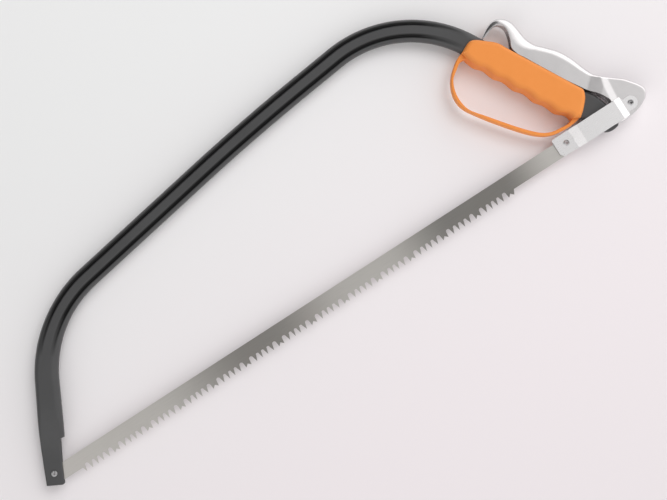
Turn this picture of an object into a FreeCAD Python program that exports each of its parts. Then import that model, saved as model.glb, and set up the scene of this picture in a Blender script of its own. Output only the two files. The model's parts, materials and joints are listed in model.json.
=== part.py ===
import FreeCAD, Part
import math
import os

# Tubular bow saw with an over-centre tension lever, lying on its side.
# All lengths are in millimetres. While the pieces are drawn, the toe pin is the origin, +X runs
# along the blade to the heel, +Y points to the bow and z = 0 is the saw's middle plane. place()
# then moves every piece so that the origin is at the middle of the underside.

os.makedirs("parts", exist_ok=True)

# ---- driving dimensions ----------------------------------------------------------------------
BLADE_LENGTH = 607.0          # toe pin to blade pin
BLADE_THICK = 0.9
BLADE_BACK = 5.5              # back edge above the pins' line
BLADE_BODY = 10.4             # plain lower edge below the pins' line
TOOTH_TIP = 15.5              # cutting tips below the pins' line
GULLET_TOP = 8.4              # tops of the gullets below the pins' line
TOOTH_START = 31.5            # first gullet's distance from the toe pin
TOOTH_END = 30.0              # plain stretch left before the blade pin
GROUP_PITCH = 39.0            # four cutting teeth and one raker
GULLETS = (0.0, 7.5, 13.6, 20.0, 27.5)

LINK_LENGTH = 73.5            # blade pin to link pin
LINK_DROP = 0.8               # link pin below the pins' line
LINK_WIDTH = 20.6
LINK_SHEET = 1.6
LINK_END = 11.6               # link beyond the blade pin
LINK_TAB = 6.8                # radius of the tab round the link pin
LINK_SLOPE_TOE = (8.0, 15.5)  # stretch of the first joggle, from the blade pin
LINK_SLOPE_HEEL = (7.2, 14.4)  # stretch of the second joggle, from the link pin

PIVOT_BACK = 27.5             # lever pivot before the link pin
PIVOT_DROP = 3.0              # lever pivot below the pins' line: past dead centre

BOW_HEIGHT = 205.2            # height of the heel bend's corner above the pins' line
TOE_CORNER_HEIGHT = 136.2
TOE_LEG_ANGLE = 62.0
HEEL_LEG_ANGLE = 61.5
CROWN_PLACE = 0.584           # share of the top run where it turns
CROWN_RISE = 6.6
TOE_BEND = 126.6              # bend radii of the tube's centreline
CROWN_BEND = 2270.0
HEEL_BEND = 121.0

TUBE_WIDTH = 22.4
TUBE_THICK = 14.0
TUBE_WALL = 1.5
TUBE_TOE_WIDTH = 25.0
TUBE_GRIP_WIDTH = 23.2
TOE_GROOVE_FADE = 40.0        # length over which the grooves run out at the toe
GROOVE_PLACE = 6.0            # grooves either side of the centreline
GROOVE_HALF = 1.9
GROOVE_DEPTH = 1.5
TONGUE_THICK = 5.0            # pressed toe, with the blade slot between its walls
TONGUE_STOCK = 23.4           # width of the pressed toe before it is cut to shape
TONGUE_SHIFT = -0.7           # and how far it is pushed off the centreline
TONGUE_END = 11.6             # tongue beyond the toe pin
TONGUE_STEP = 35.0            # step above the toe pin where the blade side is cut away
TONGUE_BACK = 11.0
TONGUE_FRONT = 8.7
SWAGE_LOW = TONGUE_STEP - 7.0  # the toe swells from here
SWAGE_HIGH = TONGUE_STEP + 12.0
SWAGE_FLATTER = 2.6           # thinner there than the plain tube
HEEL_THICK = 9.4              # pressed heel round the lever pivot
HEEL_RADIUS = 11.8
HEEL_BULGE = 16.0
PRESS_END = 46.0              # the tube ends inside the pressed heel, this far from the pivot
PRESS_SPARE = 0.6             # and is this much thinner than the heel there
GROOVE_FADE = 2.0             # how fast the grooves run out towards the grip

PIN_RADIUS = 3.0              # coiled spring pins and the pivot's shank
PIN_BORE = 0.9
PIN_COIL_GAP = 0.14
PIN_PROUD = 0.9
RUNNING_FIT = 0.05            # radial
SIDE_GAP = 0.1                # between faces that slide
OPEN_PIVOT_ROOM = 0.6         # radial room of the blade pin in the blade's slot
OPEN_PIVOT_SLOT = 2.4         # length of that slot

LEVER_SHEET = 1.6
HEEL_TUCK = 0.3               # the lever's walls overlap the heel's rounded rims by this
WASHER_THICK = 0.8
WASHER_RADIUS = 7.2
HEAD_RADIUS = 5.6
HEAD_HEIGHT = 1.6
SLEEVE_RADIUS = 5.4
SPACER_RADIUS = 4.7

GRIP_HALF = 13.5
GRIP_ROUND = 6.0
GUARD_HALF = 5.5
GUARD_ROUND = 1.5
GRIP_FIT = 0.05

# ---- places that follow from them --------------------------------------------------------------
BLADE_PIN = (BLADE_LENGTH, 0.0)
LINK_PIN = (BLADE_LENGTH + LINK_LENGTH, -LINK_DROP)
PIVOT = (LINK_PIN[0] - PIVOT_BACK, -PIVOT_DROP)

LEVER_INNER = HEEL_THICK / 2 - HEEL_TUCK                       # the channel's inside, half
LEVER_HALF = LEVER_INNER + LEVER_SHEET
EAR_INNER = HEEL_THICK / 2 + WASHER_THICK + SIDE_GAP           # the ears stand out round the heel
EAR_OUTER = EAR_INNER + LEVER_SHEET
HEAD_SEAT = EAR_OUTER + SIDE_GAP
HEAD_TOP = HEAD_SEAT + HEAD_HEIGHT
LINK_RAISED = HEAD_TOP + 0.4
LINK_LOW = LEVER_HALF + 0.35
LINK_CLOSED = BLADE_THICK / 2 + 0.3


# ---- small helpers -----------------------------------------------------------------------------
def vec(x, y, z=0.0):
    return FreeCAD.Vector(x, y, z)


def disc(centre, radius, low, high):
    """A cylinder along z."""
    return Part.makeCylinder(radius, high - low, vec(centre[0], centre[1], low))


def ring(centre, outer, inner, low, high):
    return disc(centre, outer, low, high).cut(disc(centre, inner, low - 1, high + 1))


def prism(wire, low, high):
    """A closed flat wire, drawn at z = 0, made solid from low to high."""
    solid = Part.Face(wire).extrude(vec(0, 0, high - low))
    solid.translate(vec(0, 0, low))
    return solid


def polygon(points):
    corners = [vec(x, y) for x, y in points]
    return Part.makePolygon(corners + corners[:1])


def curve(points):
    """A smooth edge through the points."""
    spline = Part.BSplineCurve()
    spline.interpolate([vec(x, y) for x, y in points])
    return spline.toShape()


def line(a, b):
    return Part.makeLine(vec(*a), vec(*b))


def dish(a, middle, b):
    """A shallow curve from a to b through the middle point, straight if the three are in line."""
    bezier = Part.BezierCurve()
    bezier.setPoles([a, middle * 2 - (a + b) * 0.5, b])
    return bezier.toShape()


def closed(*edges):
    return Part.Wire(Part.__sortEdges__(list(edges)))


def both_sides(solid):
    """The solid and its mirror image in the middle plane."""
    return [solid, solid.mirror(vec(0, 0, 0), vec(0, 0, 1))]


def soften(solid, edges, radius):
    """Round the edges, with the largest radius up to the asked one that the shape takes."""
    for share in (1.0, 0.8, 0.6, 0.4):
        try:
            rounded = solid.makeFillet(radius * share, edges)
            if rounded.isValid() and rounded.Volume > 0:
                return rounded
        except Part.OCCError:
            continue
    return solid


# ---- the tube's centreline -----------------------------------------------------------------------
def corners():
    """Corner points of the bow's centreline, from the toe pin to the lever pivot."""
    toe = (0.0, 0.0)
    up = TOE_CORNER_HEIGHT / math.tan(math.radians(TOE_LEG_ANGLE))
    toe_corner = (up, TOE_CORNER_HEIGHT)
    back = (BOW_HEIGHT - PIVOT[1]) / math.tan(math.radians(HEEL_LEG_ANGLE))
    heel_corner = (PIVOT[0] - back, BOW_HEIGHT)
    crown = (toe_corner[0] + (heel_corner[0] - toe_corner[0]) * CROWN_PLACE,
             toe_corner[1] + (heel_corner[1] - toe_corner[1]) * CROWN_PLACE + CROWN_RISE)
    return [toe, toe_corner, crown, heel_corner, PIVOT]


def centreline():
    """Straight and curved pieces of the centreline: (start, direction, length, signed radius)."""
    points = corners()
    radii = [TOE_BEND, CROWN_BEND, HEEL_BEND]
    pieces = []
    at = points[0]
    for k in range(1, len(points)):
        ahead = points[k]
        heading = math.atan2(ahead[1] - points[k - 1][1], ahead[0] - points[k - 1][0])
        run = math.hypot(ahead[0] - at[0], ahead[1] - at[1])
        if k == len(points) - 1:
            pieces.append((at, heading, run, 0.0))
            break
        after = points[k + 1]
        turn = math.atan2(after[1] - ahead[1], after[0] - ahead[0]) - heading
        reach = radii[k - 1] * math.tan(abs(turn) / 2)
        pieces.append((at, heading, run - reach, 0.0))
        start = (ahead[0] - reach * math.cos(heading), ahead[1] - reach * math.sin(heading))
        pieces.append((start, heading, radii[k - 1] * abs(turn), math.copysign(radii[k - 1], turn)))
        heading += turn
        at = (ahead[0] + reach * math.cos(heading), ahead[1] + reach * math.sin(heading))
    return pieces


PIECES = centreline()
TUBE_LENGTH = sum(piece[2] for piece in PIECES)


def along(piece, distance):
    """Point and heading at a distance along one piece of the centreline."""
    start, heading, length, radius = piece
    if radius == 0.0:
        return (start[0] + distance * math.cos(heading), start[1] + distance * math.sin(heading)), heading
    turned = heading + distance / radius
    centre = (start[0] - radius * math.sin(heading), start[1] + radius * math.cos(heading))
    return (centre[0] + radius * math.sin(turned), centre[1] - radius * math.cos(turned)), turned


def station(distance):
    """Point and heading at a distance along the whole centreline, measured from the toe pin."""
    for piece in PIECES[:-1]:
        if distance <= piece[2]:
            return along(piece, distance)
        distance -= piece[2]
    return along(PIECES[-1], distance)


def local(distance, side):
    """A flat point beside the centreline: side is positive on the outside of the bow."""
    point, heading = station(distance)
    return (point[0] - side * math.sin(heading), point[1] + side * math.cos(heading))


# ---- the tube ------------------------------------------------------------------------------------
def tube_section(distance, width, thick, groove, side=0.0):
    """A flat-oval section across the centreline, with a groove pair on each broad face."""
    point, heading = station(distance)
    high = thick / 2
    flat = (width - thick) / 2

    def level(across):
        """Height of the plain oval's broad face."""
        past = max(0.0, abs(across) - flat)
        return math.sqrt(max(0.0, high * high - past * past))

    def spot(across, up):
        across += side
        return vec(point[0] - across * math.sin(heading), point[1] + across * math.cos(heading), up)

    inner = GROOVE_PLACE - GROOVE_HALF
    outer = GROOVE_PLACE + GROOVE_HALF
    bottom = level(GROOVE_PLACE) - groove
    edges = []
    for up in (1, -1):
        edges.append(Part.makeLine(spot(-inner, up * level(inner)), spot(inner, up * level(inner))))
        for over in (1, -1):
            edges.append(dish(spot(over * inner, up * level(inner)), spot(over * GROOVE_PLACE, up * bottom),
                              spot(over * outer, up * level(outer))))
    for over in (1, -1):
        edges.append(Part.Arc(spot(over * outer, level(outer)), spot(over * width / 2, 0),
                              spot(over * outer, -level(outer))).toShape())
    return closed(*edges)


def smooth(share):
    """Ease in and out between 0 and 1."""
    return share * share * (3 - 2 * share)


def tube_shape(distance):
    """Width, thickness, groove depth and side shift of the tube at a distance from the toe pin."""
    from_heel = TUBE_LENGTH - distance
    if distance < SWAGE_LOW:
        return TONGUE_STOCK, TONGUE_THICK, 0.0, TONGUE_SHIFT
    if distance < SWAGE_HIGH:
        ease = smooth((distance - SWAGE_LOW) / (SWAGE_HIGH - SWAGE_LOW))
        return (TONGUE_STOCK + (TUBE_TOE_WIDTH - TONGUE_STOCK) * ease,
                TONGUE_THICK + (TUBE_THICK - SWAGE_FLATTER - TONGUE_THICK) * ease, 0.0,
                TONGUE_SHIFT * (1 - ease))
    if distance < TOE_PLAIN:
        share = (distance - SWAGE_HIGH) / (TOE_PLAIN - SWAGE_HIGH)
        groove = max(0.0, 1 - (TOE_PLAIN - distance) / TOE_GROOVE_FADE)
        return (TUBE_TOE_WIDTH + (TUBE_WIDTH - TUBE_TOE_WIDTH) * share,
                TUBE_THICK - SWAGE_FLATTER * (1 - share), GROOVE_DEPTH * groove, 0.0)
    if from_heel > HEEL_PLAIN:
        return TUBE_WIDTH, TUBE_THICK, GROOVE_DEPTH, 0.0
    if from_heel > GRIP_REACH:
        share = (HEEL_PLAIN - from_heel) / (HEEL_PLAIN - GRIP_REACH)
        return (TUBE_WIDTH + (TUBE_GRIP_WIDTH - TUBE_WIDTH) * share, TUBE_THICK,
                GROOVE_DEPTH * max(0.0, 1 - GROOVE_FADE * share), 0.0)
    ease = smooth(min(1.0, (GRIP_REACH - from_heel) / (GRIP_REACH - PRESS_END)))
    return TUBE_GRIP_WIDTH, TUBE_THICK + (HEEL_THICK - PRESS_SPARE - TUBE_THICK) * ease, 0.0, 0.0


TOE_PLAIN = PIECES[0][2] + 0.62 * PIECES[1][2]                 # the grooves are full from here
HEEL_PLAIN = PIECES[-1][2] + 0.36 * PIECES[-2][2]              # to this far from the pivot
GRIP_REACH = PIECES[-1][2] - 6.0


def skin(distances, inset, extra=0.0):
    """Short solids through the tube's sections at the distances."""
    wires = []
    for distance in distances:
        width, thick, groove, side = tube_shape(distance)
        if inset:
            width -= 2 * TUBE_WALL
            thick -= 2 * TUBE_WALL
        wires.append(tube_section(distance, width + 2 * extra, thick + 2 * extra, groove, side))
    return [Part.makeLoft(list(pair), True, True) for pair in zip(wires, wires[1:])]


def grooved_run(inset):
    """The stretch of constant section, as straight and turned pieces."""
    solids = []
    passed = 0.0
    for piece in PIECES:
        low = max(0.0, TOE_PLAIN - passed)
        high = min(piece[2], TUBE_LENGTH - HEEL_PLAIN - passed)
        if high > low:
            wall = TUBE_WALL if inset else 0.0
            wire = tube_section(passed + low, TUBE_WIDTH - 2 * wall, TUBE_THICK - 2 * wall, GROOVE_DEPTH)
            point, heading = along(piece, low)
            if piece[3] == 0.0:
                step = vec(math.cos(heading), math.sin(heading)) * (high - low)
                solids.append(Part.Face(wire).extrude(step))
            else:
                centre = vec(point[0] - piece[3] * math.sin(heading), point[1] + piece[3] * math.cos(heading))
                turn = math.degrees((high - low) / piece[3])
                solids.append(Part.Face(wire).revolve(centre, vec(0, 0, 1), turn))
        passed += piece[2]
    return solids


def steps(low, high, count):
    return [low + (high - low) * k / count for k in range(count + 1)]


TONGUE_STATIONS = steps(-TONGUE_END, SWAGE_LOW, 5)
SWAGE_STATIONS = steps(SWAGE_LOW, SWAGE_HIGH, 4)
TOE_STATIONS = steps(SWAGE_HIGH, TOE_PLAIN, 9)
GRIP_STATIONS = steps(TUBE_LENGTH - HEEL_PLAIN, TUBE_LENGTH - GRIP_REACH, 5)
PRESS_STATIONS = steps(TUBE_LENGTH - GRIP_REACH, TUBE_LENGTH - PRESS_END, 5)


def tube_solid(inset):
    """The whole tube without its hollow, or with inset the hollow alone."""
    solids = skin(TONGUE_STATIONS + SWAGE_STATIONS[1:] + TOE_STATIONS[1:], inset)
    solids += grooved_run(inset)
    solids += skin(GRIP_STATIONS + PRESS_STATIONS[1:], inset)
    return solids[0].multiFuse(solids[1:])


def heel_point(up, side):
    """A point of the pressed heel: up the leg from the pivot, and out to the back of the bow."""
    return local(TUBE_LENGTH - up, side)


def heel_outline(inset):
    """Outline of the pressed heel: round at the pivot, widest at the back above it."""
    radius = HEEL_RADIUS - inset
    bulge = HEEL_BULGE - inset
    top = 62.0
    front = TUBE_GRIP_WIDTH / 2 - 0.4 - inset
    back = TUBE_GRIP_WIDTH / 2 + 0.2 - inset
    back_curve = curve([heel_point(top, back), heel_point(PRESS_END, back + 0.4), heel_point(34, bulge - 1.6),
                        heel_point(23, bulge), heel_point(11, bulge - 1.6), heel_point(0, radius)])
    end = Part.Arc(vec(*heel_point(0, radius)), vec(*heel_point(-radius, 0)), vec(*heel_point(0, -radius)))
    return closed(back_curve, end.toShape(), line(heel_point(0, -radius), heel_point(top, -front)),
                  line(heel_point(top, -front), heel_point(top, back)))


def heel_plate():
    """The heel, pressed flat, with rounded rims."""
    plate = prism(heel_outline(0.0), -HEEL_THICK / 2, HEEL_THICK / 2)
    rims = [e for e in plate.Edges if abs(abs(e.CenterOfMass.z) - HEEL_THICK / 2) < 0.01]
    return soften(plate, rims, HEEL_THICK * 0.4)


def tongue_outline():
    """What is kept of the pressed toe: the blade side is cut back below the step."""
    corner = 3.2
    front = -TONGUE_FRONT
    low = -TONGUE_END
    keep = [(TONGUE_STEP + 1.5, 20.0), (20.0, 20.0), (14.0, TONGUE_BACK + 0.2), (low, TONGUE_BACK - 2.3),
            (low, front - 0.6 + corner)]
    points = [leg_point(*p) for p in keep]
    rounded = Part.Arc(vec(*leg_point(low, front - 0.6 + corner)),
                       vec(*leg_point(low + corner * 0.29, front - 0.6 + corner * 0.29)),
                       vec(*leg_point(low + corner, front - 0.6))).toShape()
    more = [(low + corner, front - 0.6), (8.0, front + 0.5), (TONGUE_STEP - 1, front),
            (TONGUE_STEP + 1.5, -20.0)]
    after = [leg_point(*p) for p in more]
    edges = [line(a, b) for a, b in zip(points, points[1:])] + [rounded]
    edges += [line(a, b) for a, b in zip(after, after[1:])] + [line(after[-1], points[0])]
    return closed(*edges)


def leg_point(up, side):
    """A point beside the straight toe leg, also below the toe pin."""
    heading = math.radians(TOE_LEG_ANGLE)
    ahead = (math.cos(heading), math.sin(heading))
    return (up * ahead[0] - side * ahead[1], up * ahead[1] + side * ahead[0])


def trim_toe(body):
    """Cut the toe to the tongue's outline."""
    size = 40.0
    top = TONGUE_STEP + 1.5
    around = polygon([leg_point(-size, -size), leg_point(-size, size), leg_point(top, size),
                      leg_point(top, -size)])
    waste = prism(around, -TUBE_THICK, TUBE_THICK)
    return body.cut(waste.cut(prism(tongue_outline(), -TUBE_THICK - 1, TUBE_THICK + 1)))


def make_bow_frame():
    body = tube_solid(False).fuse(heel_plate())
    hollow = tube_solid(True)
    pocket = prism(heel_outline(TUBE_WALL), -HEEL_THICK / 2 + TUBE_WALL, HEEL_THICK / 2 - TUBE_WALL)
    body = body.cut(hollow).cut(pocket)
    body = trim_toe(body)
    body = body.cut(disc((0, 0), PIN_RADIUS, -20, 20))
    return body.cut(disc(PIVOT, PIN_RADIUS + RUNNING_FIT, -20, 20)).removeSplitter()


# ---- pins ----------------------------------------------------------------------------------------
def coiled_pin(centre, half):
    """A spring pin rolled from strip: a round pin with a small bore and a spiral slit."""
    turns = 1.75
    count = 36
    outer_side = []
    inner_side = []
    for k in range(count + 1):
        turn = 2 * math.pi * turns * k / count
        radius = PIN_BORE * 0.8 + (PIN_RADIUS + 0.3 - PIN_BORE * 0.8) * k / count
        direction = (math.cos(turn), math.sin(turn))
        outer_side.append((centre[0] + (radius + PIN_COIL_GAP) * direction[0],
                           centre[1] + (radius + PIN_COIL_GAP) * direction[1]))
        inner_side.append((centre[0] + radius * direction[0], centre[1] + radius * direction[1]))
    slit = closed(curve(outer_side), curve(inner_side), line(outer_side[0], inner_side[0]),
                  line(outer_side[-1], inner_side[-1]))
    pin = ring(centre, PIN_RADIUS, PIN_BORE, -half, half)
    return pin.cut(prism(slit, -half - 1, half + 1))


def make_toe_pin():
    return coiled_pin((0, 0), TONGUE_THICK / 2 + PIN_PROUD)


def make_blade_pin():
    return coiled_pin(BLADE_PIN, LINK_CLOSED + LINK_SHEET + PIN_PROUD)


def make_link_pin():
    return coiled_pin(LINK_PIN, LINK_LOW + LINK_SHEET + PIN_PROUD)


def make_link_spacer():
    half = LEVER_INNER - SIDE_GAP
    return ring(LINK_PIN, SPACER_RADIUS, PIN_RADIUS, -half, half)


def make_pivot_rivet():
    """Shank through the heel and both ears, with a domed head each side."""
    rivet = disc(PIVOT, PIN_RADIUS, -HEAD_SEAT, HEAD_SEAT)
    head = disc(PIVOT, HEAD_RADIUS, HEAD_SEAT, HEAD_TOP)
    crown = [e for e in head.Edges if abs(e.CenterOfMass.z - HEAD_TOP) < 0.01]
    head = soften(head, crown, HEAD_HEIGHT * 0.8)
    for side in both_sides(head):
        rivet = rivet.fuse(side)
    return rivet.removeSplitter()


def make_pivot_sleeve():
    half = HEEL_THICK / 2 - TUBE_WALL
    return ring(PIVOT, SLEEVE_RADIUS, PIN_RADIUS + RUNNING_FIT, -half, half)


def make_pivot_washer(side):
    low, high = sorted((side * HEEL_THICK / 2, side * (EAR_INNER - SIDE_GAP)))
    return ring(PIVOT, WASHER_RADIUS, PIN_RADIUS + RUNNING_FIT, low, high)


# ---- blade ---------------------------------------------------------------------------------------
def tooth_edge():
    """The toothed edge from the toe to the heel: groups of four pointed teeth and a notched raker."""
    groups = int((BLADE_LENGTH - TOOTH_START - TOOTH_END) // GROUP_PITCH)
    edges = []
    at = (TOOTH_START - 5.0, -BLADE_BODY)
    first = (TOOTH_START - 3.4, -TOOTH_TIP)
    edges.append(line(at, first))
    at = first
    for group in range(groups):
        start = TOOTH_START + group * GROUP_PITCH
        for k, place in enumerate(GULLETS):
            middle = start + place
            beside_raker = k in (0, len(GULLETS) - 1)
            half = 2.2 if beside_raker else 1.7
            top = -GULLET_TOP + (0.5 if beside_raker else 0.0)
            left = (middle - half, top - 1.9)
            right = (middle + half, top - 1.9)
            edges.append(line(at, left))
            edges.append(Part.Arc(vec(*left), vec(middle, top), vec(*right)).toShape())
            if k < len(GULLETS) - 1:
                tip = (start + (place + GULLETS[k + 1]) / 2, -TOOTH_TIP)
                edges.append(line(right, tip))
                at = tip
            else:
                raker = start + (place + GROUP_PITCH) / 2
                points = [right, (raker - 3.0, -TOOTH_TIP + 0.3), (raker, -TOOTH_TIP + 3.2),
                          (raker + 3.0, -TOOTH_TIP + 0.3)]
                edges += [line(a, b) for a, b in zip(points, points[1:])]
                at = points[-1]
    finish = (at[0] + 2.6, -BLADE_BODY)
    edges.append(line(at, finish))
    return edges, finish


def make_saw_blade():
    edges, finish = tooth_edge()
    start = (TOOTH_START - 5.0, -BLADE_BODY)
    toe_end = -7.2
    heel_end = BLADE_LENGTH + 8.0
    points = [finish, (heel_end - 3, -BLADE_BODY), (heel_end, -BLADE_BODY + 3), (heel_end, BLADE_BACK - 3),
              (heel_end - 3, BLADE_BACK), (toe_end + 3.4, BLADE_BACK), (toe_end, BLADE_BACK - 3.4),
              (toe_end, -BLADE_BODY + 5), (toe_end + 5, -BLADE_BODY), start]
    edges += [line(a, b) for a, b in zip(points, points[1:])]
    blade = prism(Part.Wire(Part.__sortEdges__(edges)), -BLADE_THICK / 2, BLADE_THICK / 2)
    blade = blade.cut(disc((0, 0), PIN_RADIUS + RUNNING_FIT, -2, 2))
    slot = PIN_RADIUS + OPEN_PIVOT_ROOM
    low = (BLADE_PIN[0], BLADE_PIN[1] - OPEN_PIVOT_SLOT)
    hole = disc(BLADE_PIN, slot, -2, 2).fuse(disc(low, slot, -2, 2))
    hole = hole.fuse(Part.makeBox(2 * slot, OPEN_PIVOT_SLOT, 4, vec(low[0] - slot, low[1], -2)))
    return blade.cut(hole)


# ---- link ----------------------------------------------------------------------------------------
def link_outline():
    """Flat outline of a link plate, seen along the pins."""
    low = -LINK_WIDTH / 2 - 0.4
    high = LINK_WIDTH / 2 - 0.4
    left = BLADE_PIN[0] - LINK_END
    right = LINK_PIN[0] - LINK_SLOPE_HEEL[0]
    corner = 3.5
    tab_low = vec(LINK_PIN[0], LINK_PIN[1] - LINK_TAB)
    tab_high = vec(LINK_PIN[0], LINK_PIN[1] + LINK_TAB)
    points = [(LINK_PIN[0], LINK_PIN[1] + LINK_TAB), (right + 1.5, LINK_PIN[1] + LINK_TAB), (right, high),
              (left + 1, high), (left, high - 1), (left, low + corner), (left + corner, low), (right, low),
              (right + 1.5, LINK_PIN[1] - LINK_TAB), (LINK_PIN[0], LINK_PIN[1] - LINK_TAB)]
    edges = [line(a, b) for a, b in zip(points, points[1:])]
    edges.append(Part.Arc(tab_low, vec(LINK_PIN[0] + LINK_TAB, LINK_PIN[1]), tab_high).toShape())
    return closed(*edges)


def make_link_plate(side):
    """A joggled plate: closed on the blade, raised over the pivot, low at the link pin."""
    places = [BLADE_PIN[0] - LINK_END - 1, BLADE_PIN[0] + LINK_SLOPE_TOE[0], BLADE_PIN[0] + LINK_SLOPE_TOE[1],
              LINK_PIN[0] - LINK_SLOPE_HEEL[1], LINK_PIN[0] - LINK_SLOPE_HEEL[0], LINK_PIN[0] + LINK_TAB + 1]
    heights = [LINK_CLOSED, LINK_CLOSED, LINK_RAISED, LINK_RAISED, LINK_LOW, LINK_LOW]
    lower = [vec(x, -30, z) for x, z in zip(places, heights)]
    upper = [vec(x, -30, z + LINK_SHEET) for x, z in zip(places, heights)]
    profile = Part.makePolygon(lower + upper[::-1] + lower[:1])
    plate = Part.Face(profile).extrude(vec(0, 60, 0)).common(prism(link_outline(), 0, 40))
    plate = plate.cut(disc(BLADE_PIN, PIN_RADIUS, -40, 40)).cut(disc(LINK_PIN, PIN_RADIUS, -40, 40))
    return plate if side > 0 else plate.mirror(vec(0, 0, 0), vec(0, 0, 1))


# ---- tension lever ---------------------------------------------------------------------------------
def from_pivot(points):
    """Points of the lever, given from its pivot, in the saw's plane."""
    return [(PIVOT[0] + x, PIVOT[1] + y) for x, y in points]


LEVER_BACK = [(-60.4, 135.6), (-51, 142.2), (-45, 144.8), (-38.5, 144.4), (-32, 141), (-27.6, 135),
              (-25.4, 127), (-24, 113), (-20.5, 104), (-11, 93.5), (-3, 84), (4, 71), (9.5, 55), (13, 46.5),
              (20, 39), (27.5, 32.5), (36, 25.5), (42, 18), (47, 10.5), (48.5, 5), (44, 0)]


def lever_back_edge(inset):
    """The outer contour of the lever, or a line inside it."""
    points = from_pivot(LEVER_BACK)
    if inset == 0.0:
        return points
    moved = []
    for k, point in enumerate(points):
        before = points[max(0, k - 1)]
        after = points[min(len(points) - 1, k + 1)]
        heading = math.atan2(after[1] - before[1], after[0] - before[0])
        moved.append((point[0] + inset * math.sin(heading), point[1] - inset * math.cos(heading)))
    return moved


def lever_wall_outline():
    """Outline of a side wall: hook, finger gap, long edge beside the grip, and ear."""
    back = curve(lever_back_edge(0.0))
    hook = curve(from_pivot([(-60.4, 135.6), (-58.6, 135), (-50, 138.2), (-42, 139.4), (-37, 136),
                             (-35.8, 129), (-38, 120), (-42, 112), (-41, 106), (-36.6, 98), (-26.2, 79),
                             (-15.8, 60), (-5.4, 42.4), (1, 33), (7.5, 25.8), (11, 18.5), (12.4, 12),
                             (7, 7.4), (0, 7.5)]))
    lobe = Part.Arc(vec(*from_pivot([(0, 7.5)])[0]), vec(*from_pivot([(-7.5, 0)])[0]),
                    vec(*from_pivot([(-2, -7.2)])[0])).toShape()
    belly = curve(from_pivot([(-2, -7.2), (8, -8.6), (20, -9), (30, -7.8), (38, -4.6), (44, 0)]))
    return closed(back, hook, lobe, belly)


def lever_hollow_outline():
    """What the channel is hollowed to: inside the back web, and past the open edge."""
    inside = lever_back_edge(LEVER_SHEET)
    beyond = from_pivot([(42, -25), (-30, -25), (-30, 40), (-75, 120), (-75, 131)])
    edges = [curve(inside)]
    chain = [inside[-1]] + beyond + [inside[0]]
    edges += [line(a, b) for a, b in zip(chain, chain[1:])]
    return closed(*edges)


def ear_swell(base, top):
    """The stretch round the frame's heel where the wall stands out, with sloping sides."""
    crest = from_pivot([(-16, -18), (-16, 37), (2, 31), (10, 26), (12.6, 15), (12, 6), (12, -18)])
    foot = from_pivot([(-17, -18), (-17, 44), (7, 44.5), (21, 34.5), (19, 18), (15.4, 6), (15.4, -18)])
    wires = []
    for outline, level in ((foot, base), (crest, top)):
        corners3 = [vec(x, y, level) for x, y in outline]
        wires.append(Part.makePolygon(corners3 + corners3[:1]))
    return Part.makeLoft(wires, True, True)


def make_tension_lever():
    wall = lever_wall_outline()
    body = prism(wall, -LEVER_HALF, LEVER_HALF)
    tall = prism(wall, -20, 20)
    for swell in both_sides(ear_swell(LEVER_HALF - 0.01, EAR_OUTER)):
        body = body.fuse(swell.common(tall))
    hollow = prism(lever_hollow_outline(), -LEVER_INNER, LEVER_INNER)
    for swell in both_sides(ear_swell(LEVER_INNER - 0.01, EAR_INNER)):
        hollow = hollow.fuse(swell)
    body = body.cut(hollow)
    body = body.cut(disc(PIVOT, PIN_RADIUS + RUNNING_FIT, -40, 40))
    return body.cut(disc(LINK_PIN, PIN_RADIUS + RUNNING_FIT, -40, 40)).removeSplitter()


# ---- grip ------------------------------------------------------------------------------------------
GRIP_BACK = [(-86.5, 134), (-78, 138.2), (-74.5, 139.2), (-67.5, 136.8), (-61.5, 131.8), (-53, 124.4),
             (-48, 116)]
GRIP_END = [(-5.5, 39), (-8, 31), (-12, 26), (-17, 21), (-22.5, 16.6)]
FINGER_EDGE = [(-29, 20), (-29.6, 25), (-32.5, 28.6), (-36, 31.5), (-39.5, 37), (-41.5, 43), (-44.5, 48.5),
               (-49, 54), (-51.5, 62), (-54.5, 69), (-59.5, 75), (-62.5, 83), (-65.5, 90), (-70.5, 96),
               (-73.5, 104), (-76.4, 110.5), (-80.6, 115), (-83.4, 121), (-85, 126)]
GUARD_OUTER = [(-22.5, 16.6), (-31, 15), (-43, 15), (-53, 16.6), (-61, 20.2), (-69, 26.4), (-77.6, 35.6),
               (-89, 49.8), (-99.6, 64), (-109.2, 78.2), (-114.6, 88.4), (-116, 98), (-114.2, 107.6),
               (-110.4, 115.6), (-104.4, 122.8), (-97, 128.8), (-91, 132.6), (-86.5, 134)]
GUARD_INNER = [(-85, 126), (-86.6, 127.4), (-92, 127.4), (-99, 123), (-105.6, 118), (-110, 111),
               (-112.4, 102), (-112.4, 92), (-110.4, 84), (-104, 74.6), (-96, 64.4), (-87.6, 53.4),
               (-78, 41.4), (-69, 31.2), (-61, 24), (-52, 19.8), (-42, 18.4), (-33, 18.2), (-29, 20)]


def grip_outline():
    """Outside of grip and guard together."""
    back = curve(from_pivot(GRIP_BACK))
    straight = line(from_pivot([GRIP_BACK[-1]])[0], from_pivot([GRIP_END[0]])[0])
    return closed(back, straight, curve(from_pivot(GRIP_END)), curve(from_pivot(GUARD_OUTER)))


def finger_hole():
    """The hand's opening between the finger edge and the guard."""
    return closed(curve(from_pivot(FINGER_EDGE)), curve(from_pivot(GUARD_INNER)))


def grip_body_outline():
    """The thick part that the palm closes on."""
    back = curve(from_pivot(GRIP_BACK))
    straight = line(from_pivot([GRIP_BACK[-1]])[0], from_pivot([GRIP_END[0]])[0])
    front = line(from_pivot([FINGER_EDGE[-1]])[0], from_pivot([GRIP_BACK[0]])[0])
    foot = line(from_pivot([GRIP_END[-1]])[0], from_pivot([FINGER_EDGE[0]])[0])
    return closed(back, straight, curve(from_pivot(GRIP_END)), foot, curve(from_pivot(FINGER_EDGE)), front)


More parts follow.
